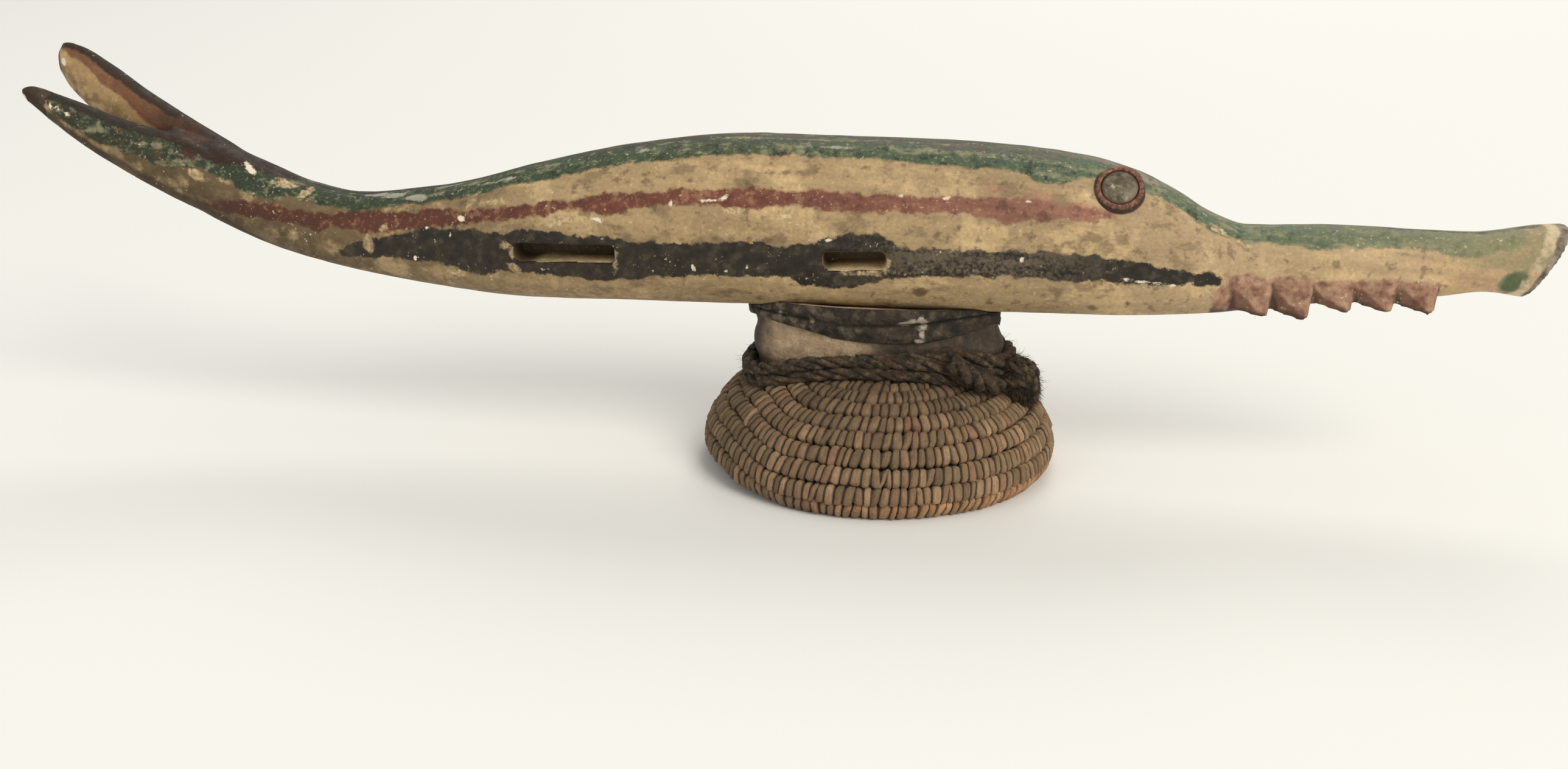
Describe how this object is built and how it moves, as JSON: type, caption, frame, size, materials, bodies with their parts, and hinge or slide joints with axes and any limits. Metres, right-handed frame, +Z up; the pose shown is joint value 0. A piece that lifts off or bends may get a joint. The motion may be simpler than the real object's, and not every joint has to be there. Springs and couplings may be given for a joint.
{
  "type": "fish sculpture",
  "caption": "Long carved and painted wooden fish with a forked tail, toothed jaw and round inlaid eyes, raised on a cloth-wrapped, roped neck over a hollow coiled skull cap.",
  "frame": {"origin": "on the ground, under the middle of the whole object's box", "axes": "+X along the fish towards its snout, +Z up, +Y to the fish's left flank"},
  "size_m": [0.9109, 0.2158, 0.239],
  "materials": {
    "painted_wood": "worn matt paint on bare wood",
    "eye_metal": "dull and stained",
    "coiled_grass": "dry stitched grass coils",
    "hide": "soiled and dry",
    "dark_cloth": "stiff with dirt",
    "fibre_rope": "frayed fibre"
  },
  "bodies": {
    "root": {"fish_body": "painted_wood", "eye_right": "eye_metal", "eye_left": "eye_metal", "cap": "coiled_grass", "neck": "hide", "neck_cloth": "dark_cloth", "neck_rope": "fibre_rope"}
  },
  "joints": []
}
